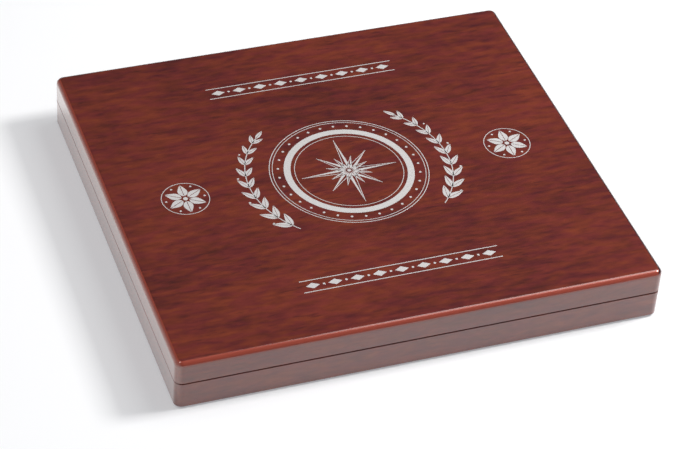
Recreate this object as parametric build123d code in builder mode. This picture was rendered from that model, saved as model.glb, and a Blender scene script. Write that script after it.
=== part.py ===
"""A flat wooden presentation case for coins: a base and a lid of mitred lacquered rails, joined at
the back by two stop hinges, with a velvet tray of round recesses in the base and a satin pad in
the lid. Millimetres, +Z up. The origin is at the centre of the underside, +X runs along the case
and -Y is its front."""

import math
import os

from build123d import *

# Outside of the case
case_length = 305.0
case_depth = 280.0
base_height = 19.3  # floor to seam
lid_height = 16.2  # seam to the lid's top
corner_radius = 5.0  # upright corners
top_round = 3.5  # edge of the lid's top
seam_bevel = 0.5  # on both sides of the seam
foot_bevel = 0.8  # lower outside edge of the rails

# Woodwork
rail_thickness = 10.0
lid_panel_thickness = 5.0
base_panel_thickness = 4.0
panel_rebate = 4.0  # how far the base panel reaches into the rails
panel_clearance = 0.1
inner_bevel = 0.4  # on the rails' inner edge at the seam

# Felt under the base
felt_thickness = 0.8
felt_inset = 3.0

# Velvet lining of the walls
lining_thickness = 1.0
base_lining_drop = 0.8  # from the seam down to the lining's edge
lid_lining_drop = 0.8  # from the seam up to the lining's edge

# Tray with its round recesses
tray_clearance = 0.3
tray_edge_round = 1.0
tray_board_thickness = 1.5
tray_floor = 2.0
recess_columns = 5
recess_rows = 3
recess_pitch_x = 54.0
recess_pitch_y = 78.0
recess_diameter = 35.4
recess_depth = 6.0
notch_diameter = 20.0
notch_reach = 8.0  # how far a finger notch reaches out of its recess
notch_depth = 4.5

# Padding in the lid
lid_board_thickness = 2.0
board_clearance = 0.2
pad_clearance = 0.3
pad_thickness = 8.2  # at the crown
pad_side = 4.0  # upright part of its sides
pad_crown_inset = 62.0  # from the pad's edge to the flat of the crown
pad_draw = 1.0  # how far each side is drawn in between its corners
pad_corner = 6.0
pad_steps = 5  # sections from the sides to the crown

# Closing magnets in the front rails
magnet_inset = 62.5  # from the end of the case to the magnet's centre
magnet_diameter = 6.0
magnet_thickness = 2.5
magnet_fit = 0.05

# Stop hinges
hinge_inset = 57.5  # from the end of the case to the middle of the hinge
leaf_length = 38.0
leaf_width = 8.0
leaf_thickness = 1.2
leaf_corner = 1.5
leaf_fit = 0.05
knuckle_count = 3
knuckle_gap = 0.15
barrel_radius = 2.2
barrel_gap = 0.3  # between the barrel and the back of the case
pin_radius = 1.0
pin_fit = 0.05
stop_thickness = 1.1
stop_clearance = 0.15
opening_angle = 95.0
stop_slack = 1.0  # degrees left between the stops at the open end
stop_sweep = 52.0  # degrees around the barrel that each stop covers

# Hinge screws
screws_per_leaf = 2
screw_pitch = 22.0
screw_length = 8.0
screw_radius = 0.9
screw_head_radius = 1.7
screw_fit = 0.05

# Heights and plan sizes that follow
seam_z = base_height
top_z = base_height + lid_height
lid_rail_top = top_z - lid_panel_thickness
base_floor_z = felt_thickness + base_panel_thickness
inner_length = case_length - 2 * rail_thickness
inner_depth = case_depth - 2 * rail_thickness
lined_length = inner_length - 2 * lining_thickness
lined_depth = inner_depth - 2 * lining_thickness
tray_bottom_z = base_floor_z + tray_board_thickness
tray_top_z = tray_bottom_z + tray_floor + recess_depth
lid_board_z = lid_rail_top - lid_board_thickness
back_y = case_depth / 2
axis_y = back_y + barrel_gap + barrel_radius
front_rail_y = -(case_depth - rail_thickness) / 2
screw_y = back_y - leaf_width / 2
hinge_x = case_length / 2 - hinge_inset
magnet_x = case_length / 2 - magnet_inset
hinge_sides = {"left": -hinge_x, "right": hinge_x}
knuckle_pitch = leaf_length / knuckle_count
base_side, lid_side = -1, 1  # which way a hinge half lies from the seam
base_knuckles = range(0, knuckle_count, 2)
lid_knuckles = range(1, knuckle_count, 2)

os.makedirs("parts", exist_ok=True)


def save(piece, label):
    """Labels a finished piece and writes it to its own file."""
    piece.part.label = label
    export_step(piece.part, f"parts/{label}.step")


def outer_block(bottom, top):
    """Solid block with the case's rounded plan."""
    with BuildSketch(Plane.XY.offset(bottom)) as plan:
        RectangleRounded(case_length, case_depth, corner_radius)
    extrude(plan.sketch, amount=top - bottom)


def keep_rail(side):
    """Hollows the block, then keeps one side of the frame, cut at 45 degrees through its corners."""
    with BuildSketch(Plane.XY) as hollow:
        Rectangle(inner_length, inner_depth)
    extrude(hollow.sketch, amount=top_z, mode=Mode.SUBTRACT)
    half_x, half_y = case_length / 2, case_depth / 2
    past = corner_radius  # the wedge runs past the outside and the inside of the rail
    reach = rail_thickness + past
    front = [
        (-half_x - past, -half_y - past),
        (half_x + past, -half_y - past),
        (half_x - reach, -half_y + reach),
        (-half_x + reach, -half_y + reach),
    ]
    right = [
        (half_x + past, -half_y - past),
        (half_x + past, half_y + past),
        (half_x - reach, half_y - reach),
        (half_x - reach, -half_y + reach),
    ]
    corners = {
        "front": front,
        "rear": [(-x, -y) for x, y in front],
        "right": right,
        "left": [(-x, -y) for x, y in right],
    }
    with BuildSketch(Plane.XY) as wedge:
        with BuildLine():
            Polyline(*corners[side], close=True)
        make_face()
    extrude(wedge.sketch, amount=top_z, mode=Mode.INTERSECT)


def leaf_plan(centre_x, grow, back):
    """Plan of a hinge leaf from its rounded inner end to the line y = back."""
    front = back_y - leaf_width - grow
    with Locations((centre_x, (front + back) / 2)):
        Rectangle(leaf_length + 2 * grow, back - front)
    inner_corners = vertices().group_by(Axis.Y)[0]
    fillet(inner_corners, leaf_corner)


def hinge_mortises(direction):
    """Beds for both leaves in a rear rail, with a pilot hole for each screw."""
    for centre_x in hinge_sides.values():
        with BuildSketch(Plane.XY.offset(seam_z)) as bed:
            leaf_plan(centre_x, leaf_fit, back_y + corner_radius)
        extrude(bed.sketch, amount=direction * leaf_thickness, mode=Mode.SUBTRACT)
    with BuildSketch(Plane.XY.offset(seam_z)) as pilots:
        with Locations(*screw_places()):
            Circle(screw_radius + screw_fit)
    extrude(pilots.sketch, amount=direction * (screw_length + screw_fit), mode=Mode.SUBTRACT)


def screw_places():
    """Plan positions of the screws in one pair of leaves."""
    first = -(screws_per_leaf - 1) / 2
    return [
        (centre_x + (first + i) * screw_pitch, screw_y)
        for centre_x in hinge_sides.values()
        for i in range(screws_per_leaf)
    ]


def magnet_places():
    """Plan positions of the magnets along a front rail."""
    return [(-magnet_x, front_rail_y), (magnet_x, front_rail_y)]


def magnet_pockets(direction):
    """Round pockets for the magnets, from the seam into a front rail."""
    with BuildSketch(Plane.XY.offset(seam_z)) as pockets:
        with Locations(*magnet_places()):
            Circle(magnet_diameter / 2 + magnet_fit)
    extrude(pockets.sketch, amount=direction * magnet_thickness, mode=Mode.SUBTRACT)


# Base rails, rebated below for the panel
for side in ("front", "rear", "left", "right"):
    with BuildPart() as base_rail:
        outer_block(felt_thickness, seam_z)
        upper_edges = faces().sort_by(Axis.Z)[-1].outer_wire().edges()
        chamfer(upper_edges, seam_bevel)
        lower_edges = faces().sort_by(Axis.Z)[0].outer_wire().edges()
        chamfer(lower_edges, foot_bevel)
        keep_rail(side)
        with BuildSketch(Plane.XY.offset(felt_thickness)):
            Rectangle(inner_length + 2 * panel_rebate, inner_depth + 2 * panel_rebate)
        extrude(amount=base_panel_thickness, mode=Mode.SUBTRACT)
        with BuildSketch(Plane.XY.offset(seam_z)):
            Rectangle(inner_length + 2 * inner_bevel, inner_depth + 2 * inner_bevel)
        extrude(amount=-inner_bevel, taper=45, mode=Mode.SUBTRACT)
        if side == "front":
            magnet_pockets(base_side)
        if side == "rear":
            hinge_mortises(base_side)
    save(base_rail, f"base_{side}_rail")

# Base panel in the rebate
with BuildPart() as base_panel:
    with BuildSketch(Plane.XY.offset(felt_thickness)):
        reach = 2 * (panel_rebate - panel_clearance)
        Rectangle(inner_length + reach, inner_depth + reach)
    extrude(amount=base_panel_thickness)
save(base_panel, "base_panel")

# Felt glued under the rails and the panel
with BuildPart() as base_felt:
    with BuildSketch():
        Rectangle(case_length - 2 * felt_inset, case_depth - 2 * felt_inset)
    extrude(amount=felt_thickness)
save(base_felt, "base_felt")


def wall_lining(bottom, top):
    """Strip of lined card that stands against the inside of the rails."""
    with BuildSketch(Plane.XY.offset(bottom)) as strip:
        Rectangle(inner_length, inner_depth)
        Rectangle(lined_length, lined_depth, mode=Mode.SUBTRACT)
    extrude(strip.sketch, amount=top - bottom)


with BuildPart() as base_wall_lining:
    wall_lining(base_floor_z, seam_z - base_lining_drop)
save(base_wall_lining, "base_wall_lining")

# Board under the tray
tray_length = lined_length - 2 * tray_clearance
tray_depth = lined_depth - 2 * tray_clearance
with BuildPart() as tray_board:
    with BuildSketch(Plane.XY.offset(base_floor_z)):
        Rectangle(tray_length, tray_depth)
    extrude(amount=tray_board_thickness)
save(tray_board, "tray_board")

# Tray: each round recess has a finger notch on its front side, and the pair is centred in its row
notch_y = -(recess_diameter / 2 + notch_reach - notch_diameter / 2)
row_shift = notch_reach / 2
with BuildPart() as coin_tray:
    with BuildSketch(Plane.XY.offset(tray_bottom_z)):
        Rectangle(tray_length, tray_depth)
    extrude(amount=tray_top_z - tray_bottom_z)
    fillet(faces().sort_by(Axis.Z)[-1].outer_wire().edges(), tray_edge_round)
    with BuildSketch(Plane.XY.offset(tray_top_z)):
        with Locations((0, row_shift)):
            with GridLocations(recess_pitch_x, recess_pitch_y, recess_columns, recess_rows):
                Circle(recess_diameter / 2)
    extrude(amount=-recess_depth, mode=Mode.SUBTRACT)
    with BuildSketch(Plane.XY.offset(tray_top_z)):
        with Locations((0, row_shift + notch_y)):
            with GridLocations(recess_pitch_x, recess_pitch_y, recess_columns, recess_rows):
                Circle(notch_diameter / 2)
    extrude(amount=-notch_depth, mode=Mode.SUBTRACT)
save(coin_tray, "coin_tray")

# Lid panel over the whole top, with a rounded edge
with BuildPart() as lid_panel:
    outer_block(lid_rail_top, top_z)
    fillet(faces().sort_by(Axis.Z)[-1].outer_wire().edges(), top_round)
save(lid_panel, "lid_panel")

# Lid rails
for side in ("front", "rear", "left", "right"):
    with BuildPart() as lid_rail:
        outer_block(seam_z, lid_rail_top)
        lower_edges = faces().sort_by(Axis.Z)[0].outer_wire().edges()
        chamfer(lower_edges, seam_bevel)
        keep_rail(side)
        with BuildSketch(Plane.XY.offset(seam_z)):
            Rectangle(inner_length + 2 * inner_bevel, inner_depth + 2 * inner_bevel)
        extrude(amount=inner_bevel, taper=45, mode=Mode.SUBTRACT)
        if side == "front":
            magnet_pockets(lid_side)
        if side == "rear":
            hinge_mortises(lid_side)
    save(lid_rail, f"lid_{side}_rail")

# Card under the lid panel, and the lining that stands on it
with BuildPart() as lid_board:
    with BuildSketch(Plane.XY.offset(lid_board_z)):
        Rectangle(inner_length - 2 * board_clearance, inner_depth - 2 * board_clearance)
    extrude(amount=lid_board_thickness)
save(lid_board, "lid_board")

with BuildPart() as lid_wall_lining:
    wall_lining(seam_z + lid_lining_drop, lid_board_z)
save(lid_wall_lining, "lid_wall_lining")

# Satin pad: its back is flat on the card, its sides are drawn in, and its face swells to a crown
pad_half_x = lined_length / 2 - pad_clearance
pad_half_y = lined_depth / 2 - pad_clearance


def pad_section(inset, depth):
    """Outline of the pad at one depth below its back: four shallow arcs with rounded corners."""
    half_x, half_y = pad_half_x - inset, pad_half_y - inset
    with BuildSketch(Plane.XY.offset(lid_board_z - depth)) as section:
        with BuildLine():
            ThreePointArc((-half_x, -half_y), (0, pad_draw - half_y), (half_x, -half_y))
            ThreePointArc((half_x, -half_y), (half_x - pad_draw, 0), (half_x, half_y))
            ThreePointArc((half_x, half_y), (0, half_y - pad_draw), (-half_x, half_y))
            ThreePointArc((-half_x, half_y), (pad_draw - half_x, 0), (-half_x, -half_y))
        make_face()
        fillet(section.vertices(), pad_corner)
    return section.sketch


with BuildPart() as satin_pad:
    sections = [pad_section(0, 0), pad_section(0, pad_side)]
    for step in range(1, pad_steps + 1):
        share = (step / pad_steps) ** 2
        swell = 1 - (1 - share) ** 4  # steep at the edge, flat at the crown
        depth = pad_side + (pad_thickness - pad_side) * swell
        sections.append(pad_section(share * pad_crown_inset, depth))
    loft(sections, ruled=True)
save(satin_pad, "satin_pad")


def magnets(direction):
    """Disc magnets that lie flush with the seam."""
    with BuildSketch(Plane.XY.offset(seam_z)) as discs:
        with Locations(*magnet_places()):
            Circle(magnet_diameter / 2)
    extrude(discs.sketch, amount=direction * magnet_thickness)


with BuildPart() as base_magnets:
    magnets(base_side)
save(base_magnets, "base_magnets")

with BuildPart() as lid_magnets:
    magnets(lid_side)
save(lid_magnets, "lid_magnets")


def hinge_section(x):
    """Plane square to the hinge at x, centred on its axis, with Y across and Z up."""
    return Plane(origin=(x, axis_y, seam_z), x_dir=(0, 1, 0), z_dir=(1, 0, 0))


def stop_bar(direction, inner_distance):
    """Bar behind the barrel, flat inside and out. Its end face, on a line through the axis, meets
    the other leaf's at the open angle."""
    end_angle = (opening_angle + stop_slack) / 2
    middle = end_angle + stop_sweep / 2
    outer_distance = barrel_radius + stop_clearance + stop_thickness
    corners = []
    for distance, angle in (
        (inner_distance, end_angle),
        (outer_distance, end_angle),
        (outer_distance, end_angle + stop_sweep),
        (inner_distance, end_angle + stop_sweep),
    ):
        radius = distance / math.cos(math.radians(angle - middle))
        turn = math.radians(direction * angle)
        corners.append((radius * math.cos(turn), radius * math.sin(turn)))
    Polygon(*corners, align=None)


def hinge_leaf(centre_x, direction, own_knuckles):
    """One leaf: plate in the rail, its share of the knuckles, the stop and its screw holes."""
    first_x = centre_x - leaf_length / 2
    with BuildSketch(Plane.XY.offset(seam_z)) as plate:
        leaf_plan(centre_x, 0, axis_y)
    extrude(plate.sketch, amount=direction * leaf_thickness)
    for i in range(knuckle_count):
        if i not in own_knuckles:  # room for the other leaf's knuckle
            with BuildSketch(hinge_section(first_x + i * knuckle_pitch - knuckle_gap / 2)) as room:
                Circle(barrel_radius + stop_clearance)
            extrude(room.sketch, amount=knuckle_pitch + knuckle_gap, mode=Mode.SUBTRACT)
    for i in own_knuckles:
        with BuildSketch(hinge_section(first_x + i * knuckle_pitch + knuckle_gap / 2)) as knuckle:
            Circle(barrel_radius)
            stop_bar(direction, barrel_radius / 2)
        extrude(knuckle.sketch, amount=knuckle_pitch - knuckle_gap)
    with BuildSketch(hinge_section(first_x + knuckle_gap / 2)) as stop:
        stop_bar(direction, barrel_radius + stop_clearance)
    extrude(stop.sketch, amount=leaf_length - knuckle_gap)
    with BuildSketch(hinge_section(first_x)) as bore:
        Circle(pin_radius + pin_fit)
    extrude(bore.sketch, amount=leaf_length, mode=Mode.SUBTRACT)
    for x, y in screw_places():
        if abs(x - centre_x) < leaf_length / 2:
            with Locations(Plane(origin=(x, y, seam_z), z_dir=(0, 0, -direction))):
                CounterSinkHole(
                    radius=screw_radius + screw_fit,
                    counter_sink_radius=screw_head_radius + screw_fit,
                    depth=leaf_thickness,
                    counter_sink_angle=90,
                )


def hinge_pin(centre_x):
    """Pin through all knuckles, flush with the ends of the leaves."""
    with BuildSketch(hinge_section(centre_x - leaf_length / 2)) as section:
        Circle(pin_radius)
    extrude(section.sketch, amount=leaf_length)


def hinge_screws(direction):
    """Countersunk screws, flush with the leaves."""
    cone = screw_head_radius - screw_radius
    for x, y in screw_places():
        upright = Plane(origin=(x, y, seam_z), x_dir=(1, 0, 0), z_dir=(0, -1, 0))
        with BuildSketch(upright) as half_profile:
            with BuildLine():
                Polyline(
                    (0, 0),
                    (screw_head_radius, 0),
                    (screw_radius, direction * cone),
                    (screw_radius, direction * screw_length),
                    (0, direction * screw_length),
                    close=True,
                )
            make_face()
        revolve(half_profile.sketch, axis=Axis((x, y, seam_z), (0, 0, 1)))


# Hinges, one near each end of the back
for side, centre_x in hinge_sides.items():
    with BuildPart() as base_hinge_leaf:
        hinge_leaf(centre_x, base_side, base_knuckles)
    save(base_hinge_leaf, f"base_hinge_leaf_{side}")
    with BuildPart() as lid_hinge_leaf:
        hinge_leaf(centre_x, lid_side, lid_knuckles)
    save(lid_hinge_leaf, f"lid_hinge_leaf_{side}")
    with BuildPart() as pin:
        hinge_pin(centre_x)
    save(pin, f"hinge_pin_{side}")

with BuildPart() as base_hinge_screws:
    hinge_screws(base_side)
save(base_hinge_screws, "base_hinge_screws")

with BuildPart() as lid_hinge_screws:
    hinge_screws(lid_side)
save(lid_hinge_screws, "lid_hinge_screws")
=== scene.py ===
import math

import bpy
import numpy as np
from mathutils import Matrix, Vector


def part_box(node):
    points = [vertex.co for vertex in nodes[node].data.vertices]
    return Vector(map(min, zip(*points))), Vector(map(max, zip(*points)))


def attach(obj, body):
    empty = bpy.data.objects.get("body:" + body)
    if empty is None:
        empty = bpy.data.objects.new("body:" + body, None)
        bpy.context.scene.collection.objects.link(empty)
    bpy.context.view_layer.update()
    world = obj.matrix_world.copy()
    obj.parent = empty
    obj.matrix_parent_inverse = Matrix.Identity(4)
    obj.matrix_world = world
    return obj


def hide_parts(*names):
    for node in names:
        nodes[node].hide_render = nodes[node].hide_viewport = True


# Coin case: red-brown lacquered wood with a silver design on the lid, a dark blue velvet tray in
# the base and an ivory satin pad in the lid. Lengths are millimetres, turned to metres by mm.

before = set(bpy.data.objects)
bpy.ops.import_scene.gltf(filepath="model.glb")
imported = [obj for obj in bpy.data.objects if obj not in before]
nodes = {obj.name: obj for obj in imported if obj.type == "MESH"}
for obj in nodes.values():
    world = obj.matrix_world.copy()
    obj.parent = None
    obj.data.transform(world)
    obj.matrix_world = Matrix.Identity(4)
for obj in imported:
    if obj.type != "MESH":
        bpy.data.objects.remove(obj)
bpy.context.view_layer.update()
scene = bpy.context.scene
mm = 0.001
print("frame: loaded", len(nodes), "nodes")


def boxOf(node):
    low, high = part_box(node)
    return np.array(low) / mm, np.array(high) / mm  # corners in millimetres


lidTop = boxOf("lid_panel")[1][2]
seamHeight = boxOf("base_front_rail")[1][2]

# Camera: turned about the middle of the case's underside, then slid in its own picture plane

cameraPlace = {
    "azimuth": -21.75,  # degrees; 0 looks along +Y
    "elevation": 40.294,
    "roll": 4.294,
    "distance": 1618.4,
    "slideRight": -3.21,
    "slideUp": -6.94,
    "focalPixels": 2564.1,
    "imageWidth": 680,
    "sensor": 36.0,
    "clip": (0.05, 30.0),  # metres
}


def placeCamera(place):
    azimuth, elevation, roll = (math.radians(place[k]) for k in ("azimuth", "elevation", "roll"))
    right = np.array([math.cos(azimuth), math.sin(azimuth), 0.0])
    back = np.array([math.sin(azimuth) * math.cos(elevation),
                     -math.cos(azimuth) * math.cos(elevation),
                     math.sin(elevation)])
    up = np.cross(back, right)
    spot = (place["distance"] * back + place["slideRight"] * right + place["slideUp"] * up) * mm
    axes = np.eye(4)
    axes[:3, 0] = math.cos(roll) * right + math.sin(roll) * up
    axes[:3, 1] = math.cos(roll) * up - math.sin(roll) * right
    axes[:3, 2] = back
    axes[:3, 3] = spot
    data = bpy.data.cameras.new("Camera")
    data.sensor_width = place["sensor"]
    data.lens = place["focalPixels"] * place["sensor"] / place["imageWidth"]
    data.clip_start, data.clip_end = place["clip"]
    camera = bpy.data.objects.new("Camera", data)
    scene.collection.objects.link(camera)
    camera.matrix_world = Matrix(axes.tolist())
    scene.camera = camera


placeCamera(cameraPlace)
print("camera: placed")

# Short cuts for shader nodes: each returns the socket that the next one reads


def newMaterial(name):
    material = bpy.data.materials.new(name)
    material.use_nodes = True
    tree = material.node_tree
    return material, tree, tree.nodes["Principled BSDF"]


def setSockets(node, values):
    for name, value in values.items():
        node.inputs[name].default_value = value


def link(tree, source, node, socket):
    tree.links.new(source, node.inputs[socket])


def objectPoint(tree, period, turn=0.0):
    # object coordinates divided by one period, in millimetres, for each axis, and turned about Z
    source = tree.nodes.new("ShaderNodeTexCoord")
    mapping = tree.nodes.new("ShaderNodeMapping")
    mapping.inputs["Rotation"].default_value = (0, 0, turn)
    mapping.inputs["Scale"].default_value = [1 / (p * mm) for p in period]
    link(tree, source.outputs["Object"], mapping, "Vector")
    return mapping.outputs["Vector"]


def noise(tree, point, detail=3.0, roughness=0.5, distortion=0.0):
    node = tree.nodes.new("ShaderNodeTexNoise")
    setSockets(node, {"Scale": 1.0, "Detail": detail, "Roughness": roughness, "Distortion": distortion})
    link(tree, point, node, "Vector")
    return node.outputs["Fac"]


def calc(tree, operation, first, second):
    node = tree.nodes.new("ShaderNodeMath")
    node.operation = operation
    for i, value in enumerate((first, second)):
        if isinstance(value, (int, float)):
            node.inputs[i].default_value = value
        else:
            tree.links.new(value, node.inputs[i])
    return node.outputs[0]


def spread(tree, value, low, high, newLow=0.0, newHigh=1.0):
    # a smooth step from newLow to newHigh as value goes from low to high
    node = tree.nodes.new("ShaderNodeMapRange")
    node.interpolation_type = "SMOOTHSTEP"
    setSockets(node, {"From Min": low, "From Max": high, "To Min": newLow, "To Max": newHigh})
    link(tree, value, node, "Value")
    return node.outputs["Result"]


def ramp(tree, value, stops, colours):
    node = tree.nodes.new("ShaderNodeValToRGB")
    elements = node.color_ramp.elements
    while len(elements) < len(stops):
        elements.new(0.5)
    for element, position, colour in zip(elements, stops, colours):
        element.position = position
        element.color = (*colour, 1)
    link(tree, value, node, "Fac")
    return node.outputs["Color"]


def mixColour(tree, factor, first, second, blend="MIX"):
    node = tree.nodes.new("ShaderNodeMix")
    node.data_type = "RGBA"
    node.blend_type = blend
    # a colour mix keeps its factor in socket 0 and its colours in sockets 6 and 7
    for socket, value in ((node.inputs[0], factor), (node.inputs[6], first), (node.inputs[7], second)):
        if isinstance(value, (int, float)):
            socket.default_value = value
        elif isinstance(value, tuple):
            socket.default_value = (*value, 1)
        else:
            tree.links.new(value, socket)
    return node.outputs[2]


def directions(tree):
    # the surface's own direction on the piece, as x, y and z
    place = tree.nodes.new("ShaderNodeTexCoord")
    split = tree.nodes.new("ShaderNodeSeparateXYZ")
    link(tree, place.outputs["Normal"], split, 0)
    return split.outputs


def bump(tree, height, depth, shader, socket="Normal", strength=1.0):
    node = tree.nodes.new("ShaderNodeBump")
    setSockets(node, {"Strength": strength, "Distance": depth * mm})
    link(tree, height, node, "Height")
    link(tree, node.outputs["Normal"], shader, socket)


# Lacquered wood: a soft mottled figure that leans between brown and purple, sparse short dark
# flecks in clusters and fine pores, all drawn out along the grain, under a clear coat

woodLook = {
    "deep": (0.058, 0.0134, 0.0146),
    "dark": (0.100, 0.0192, 0.0173),
    "middle": (0.136, 0.0250, 0.0192),
    "light": (0.182, 0.0345, 0.0212),
    "stops": (0.24, 0.40, 0.54, 0.74),  # tones at which the four colours stand
    "tone": 0.55,  # the mean tone
    "figure": ((100, 50, 0.03), (30, 7, -0.01), (10, 3.0, -0.05)),  # length, width, turn in radians
    "figureStrength": (-0.50, 0.57, 0.55),
    "brown": (1.06, 1.11, 0.86),  # the two leans, as factors on the colours above
    "purple": (0.98, 0.90, 1.08),
    "lean": (18, 6, 0.05),
    "leanFrom": (0.35, 0.65),  # noise values between which each pattern begins and is full
    "cluster": (38, 20, -0.05),
    "clusterFrom": (0.42, 0.62),
    "fleck": (11, 1.5, -0.02),
    "fleckFrom": (0.56, 0.72),
    "fleckStrength": 0.6,
    "pore": (4.0, 0.3, 0.0),
    "poreFrom": (0.62, 0.74),
    "poreStrength": 0.3,
    "poreDepth": 0.02,
    "wave": (22, 22, 22),  # unevenness of the clear coat
    "waveDepth": 0.05,
    "sheenTint": (1.0, 0.26, 0.18),  # gloss from under the stained lacquer
    "sheenRoughness": 0.28,
    "woodIor": 1.5,
    "coatIor": 1.85,
    "coatRoughness": 0.15,
}

# The lid's panel: end veneer on its two ends, and on its rounded edge a painted highlight along the front
# and the left and painted shade along the right and the rear. Each pair says between which values of the
# surface's direction a part begins and is full.

edgeLook = {
    "paintedHighlight": (0.30, 0.060, 0.040),  # painted highlight, a lighter red along the front and the left
    "wornCoat": 0.45,  # how much of the clear coat is left there
    "paintedShade": (0.024, 0.008, 0.009),  # painted shade, a darker red along the right and the rear
    "belowTop": (0.995, 0.93),
    "aboveSide": (0.15, 0.55),
    "near": (-0.05, -0.35),
    "far": (0.10, 0.40),
    "ends": (0.92, 0.96),
}


def woodColour(tree, look, alongX):
    # mean tone plus weighted noise layers, turned to colour, then leaned, flecked and pored
    def figure(size, detail=2.0):
        length, width, turn = size
        period = (length, width, width) if alongX else (width, length, width)
        return noise(tree, objectPoint(tree, period, turn), detail, roughness=0.5, distortion=0.3)

    tone = look["tone"]
    for size, strength in zip(look["figure"], look["figureStrength"]):
        offset = calc(tree, "SUBTRACT", figure(size), 0.5)
        tone = calc(tree, "ADD", tone, calc(tree, "MULTIPLY", offset, strength))
    colour = ramp(tree, tone, look["stops"], [look[k] for k in ("deep", "dark", "middle", "light")])
    lean = spread(tree, figure(look["lean"]), *look["leanFrom"])
    leaning = mixColour(tree, lean, look["purple"], look["brown"])
    colour = mixColour(tree, 1.0, colour, leaning, "MULTIPLY")
    cluster = spread(tree, figure(look["cluster"], 1.0), *look["clusterFrom"])
    fleck = spread(tree, figure(look["fleck"]), *look["fleckFrom"], 0.0, look["fleckStrength"])
    colour = mixColour(tree, calc(tree, "MULTIPLY", cluster, fleck), colour, look["deep"])
    pore = figure(look["pore"], 1.0)
    poreShade = spread(tree, pore, *look["poreFrom"], 0.0, look["poreStrength"])
    return mixColour(tree, poreShade, colour, look["deep"]), pore


def lidEdge(tree, shader, colour, ends, edge=edgeLook):
    # the rounded edge is where the surface faces neither straight up nor straight out
    x, y, z = directions(tree)
    sideways = spread(tree, calc(tree, "ABSOLUTE", x, 0.0), *edge["ends"])
    colour = mixColour(tree, sideways, colour, ends)
    belowTop, aboveSide = (spread(tree, z, *edge[k]) for k in ("belowTop", "aboveSide"))
    rounded = calc(tree, "MULTIPLY", belowTop, aboveSide)
    near = calc(tree, "MAXIMUM", spread(tree, y, *edge["near"]), spread(tree, x, *edge["near"]))
    far = calc(tree, "MAXIMUM", spread(tree, x, *edge["far"]), spread(tree, y, *edge["far"]))
    # painted highlight: the front and left of the rounded edge drawn lighter, where the clear coat is
    # also thinner
    paintedHighlight = calc(tree, "MULTIPLY", rounded, near)
    link(tree, spread(tree, paintedHighlight, 0.0, 1.0, 1.0, edge["wornCoat"]), shader, "Coat Weight")
    colour = mixColour(tree, paintedHighlight, colour, edge["paintedHighlight"])
    # painted shade: the right and rear of the rounded edge drawn darker
    return mixColour(tree, calc(tree, "MULTIPLY", rounded, far), colour, edge["paintedShade"])


def makeWood(name, alongX=True, isLidPanel=False, look=woodLook):
    material, tree, shader = newMaterial(name)
    setSockets(shader, {"Roughness": look["sheenRoughness"], "IOR": look["woodIor"], "Coat Weight": 1.0,
                        "Specular Tint": (*look["sheenTint"], 1), "Coat IOR": look["coatIor"],
                        "Coat Roughness": look["coatRoughness"]})
    colour, pore = woodColour(tree, look, alongX)
    if isLidPanel:
        colour = lidEdge(tree, shader, colour, woodColour(tree, look, not alongX)[0])
    link(tree, colour, shader, "Base Color")
    bump(tree, pore, look["poreDepth"], shader, strength=0.25)
    wave = noise(tree, objectPoint(tree, look["wave"]), detail=2.0)
    bump(tree, wave, look["waveDepth"], shader, "Coat Normal", strength=0.35)
    return material


# Cloths, card and metals. Shade is the noise in the colour, and grain that in the height and the
# gloss, the same one if not given: its period along each axis, detail, roughness, distortion.
# Stops are the noise values at which the colour is all dark and all light, and gloss is the
# roughness at the two ends of noiseSpan.

noiseSpan = (0.3, 0.7)  # most of a noise's values lie between these

velvetLook = {
    "dark": (0.0045, 0.0085, 0.036),
    "light": (0.011, 0.022, 0.085),
    "stops": (0.30, 0.75),
    "shade": ((18, 26, 18), 3.0, 0.6, 0.6),
    "grain": ((0.35, 0.35, 0.35), 2.0),
    "grainShare": 0.3,  # how much of the colour's noise comes from the pile
    "depth": 0.15,
    "strength": 0.5,
    "sockets": {"Roughness": 0.95, "Specular IOR Level": 0.1, "Sheen Weight": 0.8,
                "Sheen Roughness": 0.35, "Sheen Tint": (0.20, 0.32, 0.75, 1)},
}
satinLook = {
    "dark": (0.80, 0.73, 0.59),
    "light": (0.86, 0.80, 0.67),
    "stops": (0.30, 0.60),
    "shade": ((34, 34, 34), 3.0, 0.55, 0.4),
    "grain": ((6.0, 0.35, 0.35), 2.0),  # threads along X
    "gloss": (0.30, 0.40),
    "depth": 0.06,
    "strength": 0.5,
    "sockets": {"Specular IOR Level": 0.6, "Anisotropic": 0.4, "Sheen Weight": 0.25,
                "Sheen Roughness": 0.3, "Sheen Tint": (1.0, 0.95, 0.85, 1)},
}
feltLook = {
    "dark": (0.008, 0.008, 0.009),
    "light": (0.030, 0.030, 0.033),
    "stops": (0.35, 0.70),
    "shade": ((0.9, 0.9, 0.9), 4.0, 0.7, 1.2),
    "depth": 0.3,
    "strength": 0.7,
    "sockets": {"Roughness": 1.0, "Specular IOR Level": 0.1, "Sheen Weight": 0.3},
}
cardLook = {
    "dark": (0.24, 0.18, 0.12),
    "light": (0.36, 0.28, 0.19),
    "stops": (0.35, 0.70),
    "shade": ((2.5, 1.2, 1.2), 5.0, 0.65),
    "depth": 0.05,
    "strength": 0.5,
    "sockets": {"Roughness": 0.85},
}
brassLook = {
    "dark": (0.72, 0.50, 0.21),
    "light": (0.90, 0.68, 0.34),
    "stops": (0.30, 0.60),
    "shade": ((9, 9, 9), 3.0, 0.6),  # tarnish
    "grain": ((6.0, 0.08, 0.08), 2.0),  # brushed lines
    "gloss": (0.256, 0.416),
    "depth": 0.01,
    "strength": 0.4,
    "sockets": {"Metallic": 0.7},
}
nickelLook = {
    "dark": (0.52, 0.51, 0.49),
    "light": (0.74, 0.73, 0.70),
    "stops": (0.30, 0.60),
    "shade": ((9, 9, 9), 3.0, 0.6),
    "grain": ((0.3, 0.3, 0.3), 2.0),
    "gloss": (0.192, 0.312),
    "depth": 0.01,
    "strength": 0.4,
    "sockets": {"Metallic": 0.8},
}
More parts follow.
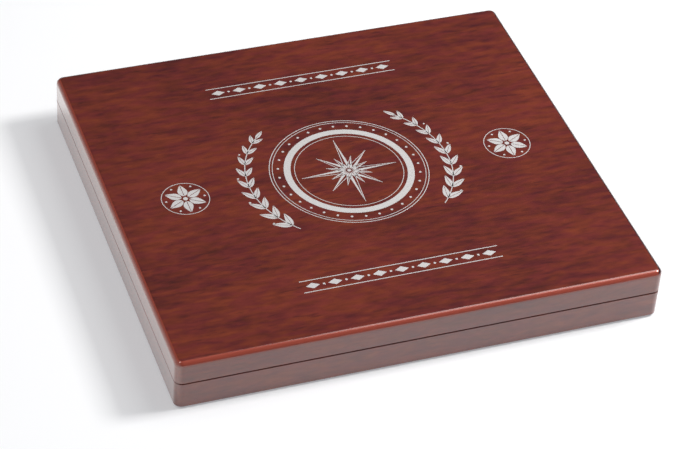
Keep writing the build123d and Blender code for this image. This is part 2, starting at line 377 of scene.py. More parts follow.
foilLook = {  # light at every angle, with a faint broken surface where it sits on the lacquer
    "dark": (0.52, 0.50, 0.50),
    "light": (0.68, 0.66, 0.655),
    "stops": (0.30, 0.55),
    "shade": ((1.4, 0.7, 0.7), 4.0, 0.7),
    "gloss": (0.50, 0.35),
    "sockets": {"Metallic": 0.25, "Specular IOR Level": 0.5},
}


def makeFinish(name, look):
    material, tree, shader = newMaterial(name)
    shade, grain = (noise(tree, objectPoint(tree, period), *settings)
                    for period, *settings in (look["shade"], look.get("grain", look["shade"])))
    if "grainShare" in look:
        fromGrain = calc(tree, "MULTIPLY", grain, look["grainShare"])
        shade = calc(tree, "ADD", calc(tree, "MULTIPLY", shade, 1 - look["grainShare"]), fromGrain)
    colour = ramp(tree, shade, look["stops"], (look["dark"], look["light"]))
    link(tree, colour, shader, "Base Color")
    setSockets(shader, look["sockets"])
    if "gloss" in look:
        link(tree, spread(tree, grain, *noiseSpan, *look["gloss"]), shader, "Roughness")
    if "depth" in look:
        bump(tree, grain, look["depth"], shader, strength=look["strength"])
    return material


woodX = makeWood("woodGrainX")
woodY = makeWood("woodGrainY", alongX=False)
woodLid = makeWood("woodLidPanel", isLidPanel=True)
velvet = makeFinish("velvet", velvetLook)
satin = makeFinish("satin", satinLook)
felt = makeFinish("felt", feltLook)
card = makeFinish("card", cardLook)
brass = makeFinish("brass", brassLook)
nickel = makeFinish("nickel", nickelLook)
silverFoil = makeFinish("silverPrint", foilLook)

nodeFinish = {
    "lid_panel": woodLid,
    "base_panel": woodX,
    "base_wall_lining": velvet,
    "lid_wall_lining": velvet,
    "tray_board": card,
    "lid_board": card,
    "base_magnets": nickel,
    "lid_magnets": nickel,
}
for part in ("base", "lid"):
    for side, wood in (("front", woodX), ("rear", woodX), ("left", woodY), ("right", woodY)):
        nodeFinish[f"{part}_{side}_rail"] = wood
for side in ("left", "right"):
    for node in (f"base_hinge_leaf_{side}", f"lid_hinge_leaf_{side}", f"hinge_pin_{side}"):
        nodeFinish[node] = brass


def dressNodes(finish):
    for node, material in finish.items():
        mesh = nodes[node].data
        mesh.materials.clear()
        mesh.materials.append(material)


dressNodes(nodeFinish)
print("materials: made for", len(nodeFinish), "nodes")

# Meshes


def gridFaces(rows, columns, wrap):
    # joins each grid point to the next in its row and to the row after; wrap closes the rows
    r, c = np.meshgrid(np.arange(rows - 1), np.arange(columns if wrap else columns - 1), indexing="ij")
    here, beside = r * columns + c, r * columns + (c + 1) % columns
    return np.stack([here, beside, beside + columns, here + columns], -1).reshape(-1, 4)


def gridBorder(rows, columns):
    # the grid's outer points in one loop, first along its first row
    return np.concatenate([np.arange(columns - 1),
                           np.arange(rows - 1) * columns + columns - 1,
                           rows * columns - 1 - np.arange(columns - 1),
                           (rows - 1 - np.arange(rows - 1)) * columns])


def bandFaces(upper, lower):
    # joins two closed loops of the same length
    return np.stack([upper, np.roll(upper, -1), np.roll(lower, -1), lower], -1)


def circle(steps):
    # unit vectors at even angles round a circle
    angle = np.arange(steps) * 2 * math.pi / steps
    return np.stack([np.cos(angle), np.sin(angle)], -1)


def towards(angle):
    return np.array([math.cos(angle), math.sin(angle)])


def makePiece(name, points, faces, material, body, sharpAngle=35):
    mesh = bpy.data.meshes.new(name)
    mesh.from_pydata((points * mm).tolist(), [], faces)
    mesh.validate()
    mesh.polygons.foreach_set("use_smooth", np.ones(len(mesh.polygons), bool))
    mesh.set_sharp_from_angle(angle=math.radians(sharpAngle))
    mesh.materials.append(material)
    piece = bpy.data.objects.new(name, mesh)
    scene.collection.objects.link(piece)
    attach(piece, body)
    return piece


# Coin tray: one polar grid for each recess, from the edge of its cell over the rounded rim and
# down to the floors

trayShape = {
    "columns": 5,
    "rows": 3,
    "pitchX": 54.0,
    "pitchY": 78.0,
    "recessRadius": 17.7,
    "recessDepth": 6.0,
    "notchRadius": 10.0,
    "notchReach": 8.0,  # how far a finger notch reaches out of its recess
    "notchDepth": 4.5,
    "notchBlend": 1.2,  # how far past the recess the notch has its full depth
    "rimRound": 0.9,
    "edgeRound": 1.0,
    "floorRound": 0.5,
    "pointsPerSide": 36,
    "topSteps": (0, 0.006, 0.016, 0.03, 0.05, 0.25, 0.5, 0.75, 0.92, 1),  # shares of the flat top
    "rimTurns": (15, 35, 55, 75, 90),  # degrees round the rim
    # in floorRounds: the notch's edge, then the wall under its floor, each as out, up in the notch
    # and up elsewhere, and last the recess's floor as in and up
    "notchSteps": ((0, 1, 1), (-0.3, 0.3, 0.4), (-1, 0, 0.2)),
    "wallSteps": ((1, 0, -0.2), (0.3, -0.3, -0.5), (0, -1, -1)),
    "floorSteps": ((0, 1), (0.3, 0.3), (1, 0), (8, 0), (18, 0), (30, 0)),
}


def cellBorder(left, right, front, back, count):
    # points round a rectangle, evenly spaced in angle along each side as seen from the recess
    def along(distance, start, end):
        angle = np.linspace(math.atan(start / distance), math.atan(end / distance), count + 1)
        return distance * np.tan(angle)[:-1]

    bottom, top = along(-front, left, right), along(back, right, left)
    rise, fall = along(right, front, back), along(-left, back, front)
    x = np.concatenate([bottom, np.full(count, right), top, np.full(count, left)])
    y = np.concatenate([np.full(count, front), rise, np.full(count, back), fall])
    return np.stack([x, y], -1)


def outlineReach(angle, shape):
    # the recess's radius, or the far side of the notch's circle where that lies further out
    notchX = shape["recessRadius"] + shape["notchReach"] - shape["notchRadius"]
    turn = angle + math.pi / 2
    inside = shape["notchRadius"] ** 2 - (notchX * np.sin(turn)) ** 2
    far = notchX * np.cos(turn) + np.sqrt(np.maximum(inside, 0))
    return np.maximum(shape["recessRadius"], np.where((inside > 0) & (np.cos(turn) > 0), far, 0))


def recessRings(edge, angle, top, shape):
    # distance from the recess's centre, and height, of each ring: straight over the top, a quarter
    # circle over the rim, and a rounded step down to the notch's floor and to the recess's
    radius, rim, soft = shape["recessRadius"], shape["rimRound"], shape["floorRound"]
    reach = outlineReach(angle, shape)
    notch = np.clip((reach - radius) / shape["notchBlend"], 0, 1)  # 1 over the notch's floor
    notchFloor, floor = top - shape["notchDepth"], top - shape["recessDepth"]
    rings = []
    for share in shape["topSteps"]:
        rings.append((edge + (reach + rim - edge) * share, np.full_like(edge, top)))
    for turn in np.radians(shape["rimTurns"]):
        height = top - rim * (1 - math.cos(turn))
        rings.append((reach + rim * (1 - math.sin(turn)), np.full_like(edge, height)))
    for start, steps in ((reach, shape["notchSteps"]), (radius, shape["wallSteps"])):
        for out, up, upElsewhere in steps:
            rise = notch * up + (1 - notch) * upElsewhere
            rings.append((start + notch * out * soft, notchFloor + rise * soft))
    for inset, lift in shape["floorSteps"]:
        rings.append((np.full_like(edge, radius - inset * soft), np.full_like(edge, floor + lift * soft)))
    return rings, floor


def trayCell(centre, border, halfSize, top, bottom, shape):
    # the rings as a closed surface, with a quarter circle taken off along the tray's own edge
    angle = np.arctan2(border[:, 1], border[:, 0])
    way = np.stack([np.cos(angle), np.sin(angle)], -1)
    rings, floor = recessRings(np.linalg.norm(border, axis=1), angle, top, shape)
    plan = centre + way * np.array([r for r, z in rings])[..., None]
    height = np.array([z for r, z in rings])
    toEdge = np.minimum(halfSize[0] - np.abs(plan[..., 0]), halfSize[1] - np.abs(plan[..., 1]))
    short = np.clip(shape["edgeRound"] - toEdge, 0, shape["edgeRound"])
    height = height - (shape["edgeRound"] - np.sqrt(shape["edgeRound"] ** 2 - short ** 2))
    points = np.concatenate([plan, height[..., None]], -1).reshape(-1, 3)

    count, around = len(rings), len(border)
    here = np.arange(around)
    beside = np.roll(here, -1)
    middle, last = len(points), (count - 1) * around
    faces = gridFaces(count, around, True).tolist()
    faces += np.stack([last + here, last + beside, np.full(around, middle)], -1).tolist()

    below = middle + 1  # the underside, and the tray's outer walls
    outline = centre + border
    points = np.vstack([points, [*centre, floor], np.column_stack([outline, np.full(around, bottom)])])
    onEdge = np.abs(np.abs(outline) - halfSize) < 1e-6  # equal but for rounding
    isWall = np.any(onEdge & onEdge[beside], axis=1)
    faces += np.stack([here, below + here, below + beside, beside], -1)[isWall].tolist()
    faces.append((below + here[::-1]).tolist())
    return points, faces


def makeTray(shape=trayShape):
    low, high = boxOf("coin_tray")
    halfSize = (high - low)[:2] / 2
    columns, rows = shape["columns"], shape["rows"]
    xs = (np.arange(columns) - (columns - 1) / 2) * shape["pitchX"]
    ys = (np.arange(rows) - (rows - 1) / 2) * shape["pitchY"] + shape["notchReach"] / 2
    xCuts = np.concatenate([[-halfSize[0]], (xs[1:] + xs[:-1]) / 2, [halfSize[0]]])
    yCuts = np.concatenate([[-halfSize[1]], (ys[1:] + ys[:-1]) / 2, [halfSize[1]]])
    allPoints, allFaces, start = [], [], 0
    for i, x in enumerate(xs):
        for j, y in enumerate(ys):
            border = cellBorder(xCuts[i] - x, xCuts[i + 1] - x, yCuts[j] - y, yCuts[j + 1] - y,
                                shape["pointsPerSide"])
            points, faces = trayCell(np.array([x, y]), border, halfSize, high[2], low[2], shape)
            allPoints.append(points)
            allFaces += [[start + k for k in face] for face in faces]
            start += len(points)
    # points that agree to four decimals, where two cells meet, become one
    merged, index = np.unique(np.round(np.vstack(allPoints), 4), axis=0, return_inverse=True)
    index = index.ravel()
    faces = [[int(index[k]) for k in face] for face in allFaces]
    tray = makePiece("coinTray", merged, faces, velvet, "base", sharpAngle=50)
    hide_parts("coin_tray")
    print("tray:", columns * rows, "recesses,", len(faces), "faces")


makeTray()

# Satin pad: a face grid with drawn-in sides and a crown, on a flat back

padShape = {
    "columns": 106,
    "rows": 98,
    "gridBend": 1.15,  # radians; how much the grid lines gather where the fabric turns
    "draw": 1.0,  # how far the sides pull in between the corners
    "corner": 6.0,
    "side": 4.0,  # upright part
    "edgeRound": 2.4,
    "edgeDrop": 0.8,  # share of edgeRound that the edge falls away
    "crownInset": 62.0,  # how far in the crown is full
    "fullness": 3.0,  # how round the crown meets at the corners
    "gather": 0.4,  # height of the small pleats along the edges
    "gatherReach": 9.0,
    "gatherPitch": 15.0,
    "gatherDrift": (1.8, 0.23, 0.7),  # size, pace and start of the wave that shifts the pleats
    "gatherSwell": (0.4, 0.31, 2.0),  # and of the one that makes them higher and lower
    "gatherShift": 40.0,  # sets the left edge's pleats apart from the right edge's
}

padCloth = {
    "quality": 6,
    "mass": 0.2,
    "stretch": 20,
    "shear": 8,
    "bend": 0.35,
    "spare": 0.007,  # how much larger the fabric is cut
    "pressure": 1.2,
    "frames": 18,
    "moveIn": 1.3,  # the furthest that the fabric may move
    "moveOut": 0.9,
}


def padPlan(u, v, half, shape):
    # a square stretched over the pad, its corners rounded, and its sides bowed in by a parabola
    # along each times the cube of the way out to it
    x, y = u * half[0], v * half[1]
    inner = half - shape["corner"]
    past = np.maximum(np.abs(np.stack([x, y])) - inner[:, None, None], 0)
    longest, length = past.max(0), np.hypot(*past)
    scale = np.where(length > 0, longest / np.maximum(length, 1e-9), 1)
    both = (past > 0).all(0)
    x = np.where(both, np.sign(x) * (inner[0] + past[0] * scale), x)
    y = np.where(both, np.sign(y) * (inner[1] + past[1] * scale), y)
    pulled = np.abs(np.stack([u, v])) ** 3 * shape["draw"]
    return x - np.sign(u) * pulled[0] * (1 - v ** 2), y - np.sign(v) * pulled[1] * (1 - u ** 2)


def pleats(along, across, shape):
    # uneven sine waves along an edge that die out exponentially with the distance from it
    turn = 2 * math.pi * along / shape["gatherPitch"]
    drift, driftPace, driftStart = shape["gatherDrift"]
    swell, swellPace, swellStart = shape["gatherSwell"]
    wave = np.sin(turn + drift * np.sin(turn * driftPace + driftStart))
    wave = wave * (1 - swell + swell * np.sin(turn * swellPace + swellStart))
    return shape["gather"] * wave * np.exp(-across / shape["gatherReach"])


def padDepth(u, v, half, thickness, shape):
    # rises over the rounded edge by a quarter circle, then swells by 1 less the fourth power of
    # what is left of the way to the crown, and carries the pleats of both pairs of edges
    least = 1e-3  # keeps the powers finite at the edge
    gapX = np.maximum(half[0] * (1 - np.abs(u)), least)
    gapY = np.maximum(half[1] * (1 - np.abs(v)), least)
    power = shape["fullness"]
    inset = (gapX ** -power + gapY ** -power) ** (-1 / power)
    swell = 1 - (1 - np.clip(inset / shape["crownInset"], 0, 1)) ** 4
    near = np.clip(1 - inset / shape["edgeRound"], 0, 1)
    drop = shape["edgeDrop"] * shape["edgeRound"] * (1 - np.sqrt(1 - near ** 2))
    folds = pleats(v * half[1] + shape["gatherShift"] * np.sign(u), gapX, shape)
    folds = folds + pleats(u * half[0], gapY, shape)
    return shape["side"] + (thickness - shape["side"]) * swell - drop + folds * (1 - near)


def plumpPad(piece, shape, cloth=padCloth):
    # air pressure under slightly spare fabric, held at the face's rim and all over the back
    held = piece.vertex_groups.new(name="held")
    start = np.empty(len(piece.data.vertices) * 3, np.float32)
    piece.data.vertices.foreach_get("co", start)
    start = start.reshape(-1, 3)
    faceCount = shape["rows"] * shape["columns"]
    rim = gridBorder(shape["rows"], shape["columns"])
    held.add(rim.tolist() + list(range(faceCount, len(start))), 1.0, "REPLACE")
    modifier = piece.modifiers.new("Cloth", "CLOTH")
    settings = modifier.settings
    settings.quality = cloth["quality"]
    settings.mass = cloth["mass"]
    settings.tension_stiffness = settings.compression_stiffness = cloth["stretch"]
    settings.shear_stiffness = cloth["shear"]
    settings.bending_stiffness = cloth["bend"]
    settings.shrink_min = -cloth["spare"]
    settings.use_pressure = True
    settings.uniform_pressure_force = cloth["pressure"]
    settings.vertex_group_mass = "held"
    settings.effector_weights.gravity = 0
    modifier.collision_settings.use_collision = False
    modifier.point_cache.frame_start, modifier.point_cache.frame_end = 1, cloth["frames"]
    for i in range(1, cloth["frames"] + 1):
        scene.frame_set(i)
    moved = np.empty(len(start) * 3, np.float32)
    solved = piece.evaluated_get(bpy.context.evaluated_depsgraph_get()).data
    solved.vertices.foreach_get("co", moved)
    piece.modifiers.remove(modifier)
    scene.frame_set(1)
    moveIn, moveOut = cloth["moveIn"] * mm, cloth["moveOut"] * mm
    shift = moved.reshape(-1, 3) - start
    shift[:, 2] = np.clip(shift[:, 2], -moveOut, moveIn)
    shift[:, :2] = np.clip(shift[:, :2], -moveOut, moveOut)
    piece.data.vertices.foreach_set("co", (start + shift).astype(np.float32).ravel())
    piece.data.update()


def makePad(shape=padShape):
    # the face's depth below a flat back, on a grid whose even steps in angle become sines, and a
    # loop halfway up the sides
    low, high = boxOf("satin_pad")
    half = (high - low)[:2] / 2
    rows, columns, bend = shape["rows"], shape["columns"], shape["gridBend"]
    u, v = np.meshgrid(np.sin(np.linspace(-1, 1, columns) * bend) / math.sin(bend),
                       np.sin(np.linspace(-1, 1, rows) * bend) / math.sin(bend))
    x, y = padPlan(u, v, half, shape)
    depth = padDepth(u, v, half, high[2] - low[2], shape)
    face = np.stack([x, y, high[2] - depth], -1).reshape(-1, 3)
    loop = gridBorder(rows, columns)
    middle = face[loop].copy()
    middle[:, 2] = (middle[:, 2] + high[2]) / 2
    flatBack = face.copy()
    flatBack[:, 2] = high[2]
    points = np.vstack([face, flatBack, middle])
    first = len(face)
    ring = 2 * first + np.arange(len(loop))
    faces = gridFaces(rows, columns, False)
    walls = np.vstack([bandFaces(loop, ring), bandFaces(ring, loop + first)])
    faces = np.vstack([faces[:, ::-1], faces + first, walls]).tolist()
    pad = makePiece("satinPad", points, faces, satin, "lid", sharpAngle=60)
    plumpPad(pad, shape)
    smooth = pad.modifiers.new("Smooth", "SUBSURF")
    smooth.levels = smooth.render_levels = 1
    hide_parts("satin_pad")
    print("pad: made,", len(faces), "faces before subdivision")


makePad()

# Felt under the case: cut by hand, so its edges wander, and pressed uneven below

feltShape = {
    "columns": 121,
    "rows": 111,
    "cutWave": 0.25,  # how far the cut edges wander inwards
    "cutPitch": 37.0,
    "cutDrift": (1.3, 0.37),  # size and pace of the wave that shifts it
    "cutPower": 9,  # how close to the edge the wandering stays
    "pressed": 0.08,  # how much the underside rises and falls
    "pressedPitch": 23.0,
    "pressedSkew": (0.3, -0.2),
    "edgeLift": 0.2,
    "edgePower": 80,
}


def feltGrid(half, shape):
    # a rectangle drawn in at its edges by an uneven sine wave, over a product of two sines
    u, v = np.meshgrid(np.linspace(-1, 1, shape["columns"]), np.linspace(-1, 1, shape["rows"]))
    x, y = u * half[0], v * half[1]

    def drawnIn(along):
        turn = 2 * math.pi * along / shape["cutPitch"]
        size, pace = shape["cutDrift"]
        return shape["cutWave"] * (0.5 - 0.5 * np.sin(turn + size * np.sin(pace * turn)))

    turn = 2 * math.pi / shape["pressedPitch"]
    skewX, skewY = shape["pressedSkew"]
    lift = shape["pressed"] * np.sin(turn * (x + skewX * y)) * np.sin(turn * (y + skewY * x))
    lift = lift + shape["edgeLift"] * np.maximum(np.abs(u), np.abs(v)) ** shape["edgePower"]
    power = shape["cutPower"]
    return x - u ** power * drawnIn(y), y - v ** power * drawnIn(x), lift - lift.min()


def makeFeltSheet(shape=feltShape):
    low, high = boxOf("base_felt")
    x, y, lift = feltGrid((high - low)[:2] / 2, shape)
    under = np.stack([x, y, low[2] + lift], -1).reshape(-1, 3)
    upper = under.copy()
    upper[:, 2] = high[2]
    first = len(under)
    loop = gridBorder(shape["rows"], shape["columns"])
    faces = gridFaces(shape["rows"], shape["columns"], False)
    faces = np.vstack([faces[:, ::-1], faces + first, bandFaces(loop, loop + first)]).tolist()
    sheet = makePiece("feltSheet", np.vstack([under, upper]), faces, felt, "base", sharpAngle=50)
    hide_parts("base_felt")
    print("felt: made,", len(faces), "faces")


makeFeltSheet()

# Silver design on the lid: thin prisms that stand a hair above the lacquer

printShape = {
    "sink": 0.02,  # how far the prisms go into the lacquer
    "rise": 0.03,
    "rings": ((36.6, 40.9), (33.9, 34.3), (47.8, 48.2), (49.6, 50.1)),  # inner and outer radius
    "ringSteps": 180,
    "beadCircle": 44.4,
    "beads": 32,
    "beadRadius": 0.8,
}

starShape = {
    "rays": 16,
    "lengths": (31.0, 14.5, 23.0, 14.5),  # in turn
    "shoulders": (5.2, 4.16),  # how far out a ray is widest, in turn
    "spread": 0.39,  # radians each way at its shoulder
    "root": 1.82,
    "line": 0.4,
    "middle": 1.2,
}

sprayShape = {
    "radius": 65.0,
    "span": 44.0,  # degrees each way from the middle
    "stem": 0.6,
    "stemPoints": 40,
    "leaves": 9,
    "leafLength": 12.5,
    "leafWidth": 4.4,
    "leafLean": 0.55,  # radians away from the stem
    "leafRib": 0.14,
    "taper": 0.35,  # how much smaller the last leaves are
    "tipLength": 0.7,  # the leaf at the tip, as shares of the first
    "tipWidth": 0.65,
    "berryOut": 6.4,
    "berryBack": 0.03,  # radians
    "berryRadius": 0.9,
}

rosetteShape = {
    "x": 106.0,
    "radius": 15.0,
    "line": 0.45,
    "ringSteps": 72,
    "petals": 6,
    "petalRoot": 2.4,
    "petalGap": 4.4,  # what a petal's length is short of the radius
    "petalWidth": 6.0,
    "petalRib": 0.2,
    "beadIn": 2.8,
    "beadRadius": 0.7,
    "middle": 1.5,
}

lozengeShape = {
    "y": 96.0,
    "length": 126.0,
    "height": 10.0,
    "line": 0.6,
    "count": 9,
    "half": (4.4, 2.5),
    "beadRadius": 0.8,
}


class Stencil:
    # collects flat outlines and turns each into a closed prism
    def __init__(self, low, high):
        self.low, self.high = low, high
        self.points, self.faces, self.count = [], [], 0

    def add(self, outline):
        outline = np.asarray(outline, float)
        x, y = outline.T
        twiceArea = np.sum(x * np.roll(y, -1) - y * np.roll(x, -1))
        if twiceArea < 0:  # clockwise
            outline = outline[::-1]
        n = len(outline)
        for height in (self.low, self.high):
            self.points.append(np.column_stack([outline, np.full(n, height)]))
        under = self.count + np.arange(n)
        self.faces += [(under + n).tolist(), under[::-1].tolist()]
        self.faces += bandFaces(under, under + n).tolist()
        self.count += 2 * n

    def ring(self, centre, inner, outer, steps):
        # four rows round the circle: inner and outer edge, below and above
        low, high, start = self.low, self.high, self.count
        for radius, height in ((inner, low), (outer, low), (outer, high), (inner, high)):
            plan = np.asarray(centre) + circle(steps) * radius
            self.points.append(np.column_stack([plan, np.full(steps, height)]))
        firstRow = start + np.arange(steps)
        closing = bandFaces(firstRow + 3 * steps, firstRow)
        self.faces += np.vstack([gridFaces(4, steps, True) + start, closing]).tolist()
        self.count += 4 * steps

    def disc(self, centre, radius, steps=14):
        self.add(np.asarray(centre) + radius * circle(steps))

    def stroke(self, path, width):
        # a path given a width, with its ends cut square
        path = np.asarray(path, float)
        way = np.gradient(path, axis=0)
        way /= np.linalg.norm(way, axis=1)[:, None]
        side = np.stack([-way[:, 1], way[:, 0]], -1) * width / 2
        self.add(np.vstack([path + side, (path - side)[::-1]]))

    def leaf(self, root, heading, length, width, rib, mirror=1, steps=12, power=0.75):
        # two halves, each a sine bulge to one side of a straight rib, full towards the root
        share = np.linspace(0, 1, steps)
        turn = np.array([towards(heading), towards(heading + math.pi / 2)])
        for side in (-1, 1):
            across = side * (rib + (width / 2 - rib) * np.sin(math.pi * share ** power))
            half = np.column_stack([share * length, across])
            self.add((np.asarray(root) + half @ turn) * np.array([mirror, 1]))


def drawStar(stencil, shape=starShape):
    # each ray is a triangle on one side and a line from shoulder to tip on the other
    for k in range(shape["rays"]):
        heading = math.pi / 2 - k * 2 * math.pi / shape["rays"]
        shoulder = shape["shoulders"][k % len(shape["shoulders"])]
        tip = shape["lengths"][k % len(shape["lengths"])] * towards(heading)
        before, after = (shoulder * towards(heading + s * shape["spread"]) for s in (-1, 1))
        stencil.add([shape["root"] * towards(heading), before, tip])
        stencil.stroke([after, tip], shape["line"])
    stencil.disc((0, 0), shape["middle"], steps=20)


def drawSpray(stencil, side, shape=sprayShape):
    # pairs of leaves along an arc, smaller towards its tip, with a berry at every second pair
    radius, span = shape["radius"], math.radians(shape["span"])
    mirror = np.array([side, 1])
    angle = np.linspace(-span, span, shape["stemPoints"])
    stem = radius * np.column_stack([side * np.cos(angle), np.sin(angle)])
    stencil.stroke(stem, shape["stem"])
    for i in range(shape["leaves"]):
        share = (i + 0.5) / shape["leaves"]
        place = -span + 2 * span * share
        size = 1 - shape["taper"] * share
        for lean in (-shape["leafLean"], shape["leafLean"]):
            stencil.leaf(radius * towards(place), place + math.pi / 2 + lean, shape["leafLength"] * size,
                         shape["leafWidth"] * size, shape["leafRib"], side)
        if i % 2:
            berry = (radius + shape["berryOut"] * size) * towards(place - shape["berryBack"])
            stencil.disc(berry * mirror, shape["berryRadius"] * size)
    stencil.leaf(radius * towards(span), span + math.pi / 2, shape["leafLength"] * shape["tipLength"],
                 shape["leafWidth"] * shape["tipWidth"], shape["leafRib"], side)


def drawRosette(stencil, side, shape=rosetteShape):
    # petals at even angles inside a ring, with a bead between each two
    centre = np.array([side * shape["x"], 0.0])
    radius = shape["radius"]
    stencil.ring(centre, radius - shape["line"], radius, shape["ringSteps"])
    for k in range(shape["petals"]):
        heading = (2 * k + 1) * math.pi / shape["petals"]
        stencil.leaf(centre + shape["petalRoot"] * towards(heading), heading, radius - shape["petalGap"],
                     shape["petalWidth"], shape["petalRib"])
        between = heading + math.pi / shape["petals"]
        stencil.disc(centre + (radius - shape["beadIn"]) * towards(between), shape["beadRadius"])
    stencil.disc(centre, shape["middle"], steps=20)


def drawLozenges(stencil, side, shape=lozengeShape):
    # lozenges at even steps between two straight lines, with a bead between each two
    middle, half = side * shape["y"], shape["length"] / 2
    for offset in (-1, 1):
        y = middle + offset * shape["height"] / 2
        low, high = y - shape["line"] / 2, y + shape["line"] / 2
        stencil.add([[-half, low], [half, low], [half, high], [-half, high]])
    step = shape["length"] / shape["count"]
    halfX, halfY = shape["half"]
    for i in range(shape["count"]):
        x = -half + (i + 0.5) * step
        stencil.add([[x - halfX, middle], [x, middle - halfY], [x + halfX, middle], [x, middle + halfY]])
        if i:
            stencil.disc((x - step / 2, middle), shape["beadRadius"])


def makePrintPiece(shape=printShape):
    stencil = Stencil(lidTop - shape["sink"], lidTop + shape["rise"])
    for inner, outer in shape["rings"]:
        stencil.ring((0, 0), inner, outer, shape["ringSteps"])
    for k in range(shape["beads"]):
        centre = shape["beadCircle"] * towards((k + 0.5) * 2 * math.pi / shape["beads"])
        stencil.disc(centre, shape["beadRadius"], steps=20)
    drawStar(stencil)
    for side in (-1, 1):
        drawSpray(stencil, side)
        drawRosette(stencil, side)
        drawLozenges(stencil, side)
    points = np.vstack(stencil.points)
    makePiece("lidPrint", points, stencil.faces, silverFoil, "lid", sharpAngle=30)
    print("print:", len(stencil.faces), "faces")


makePrintPiece()

# Hinge screws: countersunk heads with a crossed recess, worked out on a polar grid

screwShape = {
    "headRadius": 1.7,
    "headMargin": 0.08,
    "headBevel": 0.02,
    "headWall": 0.06,
    "shankRadius": 0.9,
    "length": 8.0,
    "point": (0.1, 0.6),  # radius and length
    "pitch": 22.0,
    "perLeaf": 2,
    "leafWidth": 8.0,
    "recessLength": 1.05,
    "recessWidth": 0.26,
    "recessSoft": (0.15, 0.1),  # softness of its ends and sides
    "recessDepth": 0.7,
    "recessRise": 0.5,  # share of its depth that it loses towards the head's edge
    "rings": 20,
    "steps": 48,
}


def screwSurface(shape):
    # rings over the head, sunk where a soft cross lies over them, then the cone, shank and point
    steps, margin = shape["steps"], shape["headMargin"]
    head = np.linspace(margin, shape["headRadius"] - margin, shape["rings"])[:, None]
    wayX, wayY = circle(steps).T
    x, y = head * wayX, head * wayY
    softEnd, softSide = shape["recessSoft"]

    def bar(along, across):
        inLength = np.clip((shape["recessLength"] - np.abs(along)) / softEnd + 0.5, 0, 1)
        return inLength * np.clip((shape["recessWidth"] - np.abs(across)) / softSide + 0.5, 0, 1)

    rise = 1 - shape["recessRise"] * head / head[-1]
    down = shape["recessDepth"] * np.maximum(bar(x, y), bar(y, x)) * rise
    radius, shank, wall = shape["headRadius"], shape["shankRadius"], shape["headWall"]
    pointRadius, pointLength = shape["point"]
    under = np.array([[radius - shape["headBevel"], shape["headBevel"]], [radius, wall],
                      [shank, radius - shank + wall], [shank, shape["length"] - pointLength],
                      [pointRadius, shape["length"]]])
    ringX = np.vstack([x, under[:, :1] * wayX])
    ringY = np.vstack([y, under[:, :1] * wayY])
    ringZ = np.vstack([down, np.repeat(under[:, 1:], steps, 1)])
    surface = np.stack([ringX, ringY, ringZ], -1).reshape(-1, 3)
    surface = np.vstack([surface, [0, 0, down[0].mean()], [0, 0, shape["length"]]])
    rows = len(ringX)
    centre, last, here = rows * steps, (rows - 1) * steps, np.arange(steps)
    beside = np.roll(here, -1)
    faces = gridFaces(rows, steps, True).tolist()
    faces += np.stack([np.full(steps, centre), beside, here], -1).tolist()
    faces += np.stack([np.full(steps, centre + 1), last + here, last + beside], -1).tolist()
    return surface, faces


def makeScrews(part, direction, shape=screwShape):
    # the same screw at each place, pointing down in the base and up in the lid
    surface, faces = screwSurface(shape)
    if direction > 0:
        faces = [face[::-1] for face in faces]
    backY = boxOf(f"{part}_rear_rail")[1][1]
    allPoints, allFaces = [], []
    for side in ("left", "right"):
        low, high = boxOf(f"{part}_hinge_leaf_{side}")
        for i in range(shape["perLeaf"]):
            x = (low[0] + high[0]) / 2 + (i - (shape["perLeaf"] - 1) / 2) * shape["pitch"]
            place = np.array([x, backY - shape["leafWidth"] / 2, seamHeight])
            start = len(allPoints) * len(surface)
            allPoints.append(surface * np.array([1, 1, direction]) + place)
            allFaces += [[start + k for k in face] for face in faces]
    points = np.vstack(allPoints)
    piece = makePiece(f"{part}HingeScrews", points, allFaces, brass, part, sharpAngle=40)
    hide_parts(f"{part}_hinge_screws")


makeScrews("base", -1)
makeScrews("lid", 1)
print("screws: made")

# Floor, lamps and surroundings. A pair says between which places, in metres, or directions of the
# sky, a part begins and is full.

stageLook = {
    "floorSize": 12.0,  # metres
    "floorColour": 0.62,
    "liftColour": (0.94, 0.955, 1.0),
    "floorLift": 0.325,  # added for the camera and in reflections only
    "farLift": 0.6,  # more of it far away
    "farFrom": (0.45, 1.3),
    "sideColour": (1.0, 0.93, 0.86),
    "sideGlow": 0.44,  # in reflections only, beside the left face
    "sideFrom": (-0.145, -0.175),
    "fill": 0.245,  # light from all round
    "reflectedDark": 0.03,  # what gloss sees of the room
    "reflectedSide": 1.4,  # and of the pale wall on the left
    "wallHeight": (0.9, 0.0),
    "wallShade": (0.35, 1.0),  # the wall's strength at those heights
    "wallFrom": (-0.32, -0.80),
}

lamps = {  # degrees, metres and watts
    "Key": {"azimuth": -7, "elevation": 46, "distance": 1.6, "size": (0.4, 0.4), "power": 24.5},
    "Overhead": {"azimuth": 4, "elevation": 66, "distance": 1.55, "size": (0.9, 0.6), "power": 5.5},
    "Glint": {"azimuth": 190, "elevation": 61, "distance": 1.5, "size": (0.3, 0.3), "power": 3.8},
}


def seenDirectly(tree, kinds):
    # 1 for the named kinds of ray
    path = tree.nodes.new("ShaderNodeLightPath")
    total = path.outputs[kinds[0]]
    for kind in kinds[1:]:
        total = calc(tree, "MAXIMUM", total, path.outputs[kind])
    return total


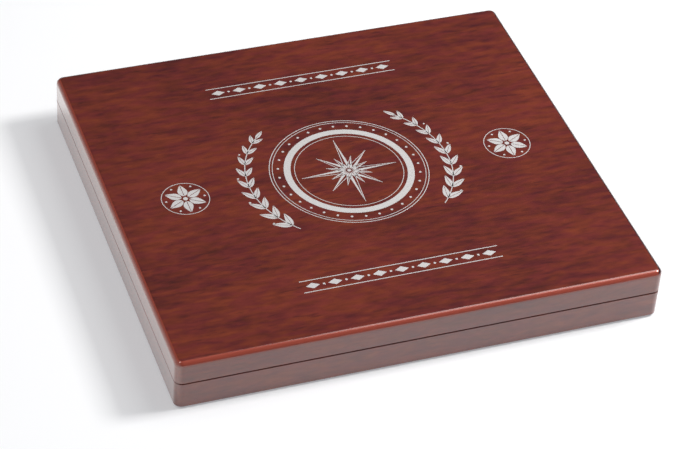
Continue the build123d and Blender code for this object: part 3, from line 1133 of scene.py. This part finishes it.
def makeFloor(look=stageLook):
    # matte, with a glow for the camera and in reflections, and one in reflections only
    half = look["floorSize"] / 2
    mesh = bpy.data.meshes.new("Floor")
    corners = [(-half, -half, 0), (half, -half, 0), (half, half, 0), (-half, half, 0)]
    mesh.from_pydata(corners, [], [(0, 1, 2, 3)])
    floor = bpy.data.objects.new("Floor", mesh)
    scene.collection.objects.link(floor)
    material = bpy.data.materials.new("floor")
    material.use_nodes = True
    tree = material.node_tree
    tree.nodes.clear()
    matte = tree.nodes.new("ShaderNodeBsdfDiffuse")
    matte.inputs["Color"].default_value = (look["floorColour"],) * 3 + (1,)
    place = tree.nodes.new("ShaderNodeTexCoord")
    distance = tree.nodes.new("ShaderNodeVectorMath")
    distance.operation = "LENGTH"
    link(tree, place.outputs["Object"], distance, 0)
    lift = spread(tree, distance.outputs["Value"], *look["farFrom"], look["floorLift"],
                  look["floorLift"] + look["farLift"])
    direct = seenDirectly(tree, ("Is Camera Ray", "Is Glossy Ray", "Is Transmission Ray"))
    seen = calc(tree, "MULTIPLY", direct, lift)
    split = tree.nodes.new("ShaderNodeSeparateXYZ")
    link(tree, place.outputs["Object"], split, 0)
    beside = spread(tree, split.outputs[0], *look["sideFrom"], 0.0, look["sideGlow"])
    mirrored = calc(tree, "MULTIPLY", seenDirectly(tree, ("Is Glossy Ray",)), beside)
    surface = matte.outputs[0]
    for colour, strength in ((look["liftColour"], seen), (look["sideColour"], mirrored)):
        glow = tree.nodes.new("ShaderNodeEmission")
        glow.inputs["Color"].default_value = (*colour, 1)
        link(tree, strength, glow, "Strength")
        both = tree.nodes.new("ShaderNodeAddShader")
        link(tree, surface, both, 0)
        link(tree, glow.outputs[0], both, 1)
        surface = both.outputs[0]
    link(tree, surface, tree.nodes.new("ShaderNodeOutputMaterial"), "Surface")
    mesh.materials.append(material)


def makeWorld(look=stageLook):
    # white for the camera; gloss sees a dark room with a pale wall on the left, and the rest of
    # the light is an even fill
    world = bpy.data.worlds.new("Studio")
    scene.world = world
    world.use_nodes = True
    tree = world.node_tree
    background = tree.nodes["Background"]
    background.inputs["Color"].default_value = (1, 1, 1, 1)
    place = tree.nodes.new("ShaderNodeTexCoord")
    split = tree.nodes.new("ShaderNodeSeparateXYZ")
    link(tree, place.outputs["Generated"], split, 0)
    low = spread(tree, split.outputs[2], *look["wallHeight"], *look["wallShade"])
    left = spread(tree, split.outputs[0], *look["wallFrom"])
    wall = calc(tree, "MULTIPLY", calc(tree, "MULTIPLY", low, left), look["reflectedSide"])
    gloss = calc(tree, "ADD", wall, look["reflectedDark"])
    isGloss = seenDirectly(tree, ("Is Glossy Ray",))
    fill = calc(tree, "MULTIPLY", calc(tree, "SUBTRACT", 1.0, isGloss), look["fill"])
    strength = calc(tree, "ADD", calc(tree, "MULTIPLY", isGloss, gloss), fill)
    seen = seenDirectly(tree, ("Is Camera Ray", "Is Transmission Ray"))
    link(tree, calc(tree, "MAXIMUM", strength, seen), background, "Strength")


def makeLamps(setup=lamps):
    for name, lamp in setup.items():
        azimuth, elevation = math.radians(lamp["azimuth"]), math.radians(lamp["elevation"])
        way = np.array([*(math.cos(elevation) * towards(azimuth)), math.sin(elevation)])
        data = bpy.data.lights.new(name, "AREA")
        data.shape = "RECTANGLE"
        data.size, data.size_y = lamp["size"]
        data.energy = lamp["power"]
        light = bpy.data.objects.new(name, data)
        scene.collection.objects.link(light)
        side = np.cross([0, 0, 1], way)
        side /= np.linalg.norm(side)
        axes = np.eye(4)
        axes[:3, 0], axes[:3, 1], axes[:3, 2] = side, np.cross(way, side), way
        axes[:3, 3] = way * lamp["distance"]
        light.matrix_world = Matrix(axes.tolist())


makeFloor()
makeWorld()
makeLamps()
scene.view_settings.view_transform = "Standard"
print("stage: floor, world and", len(lamps), "lamps")
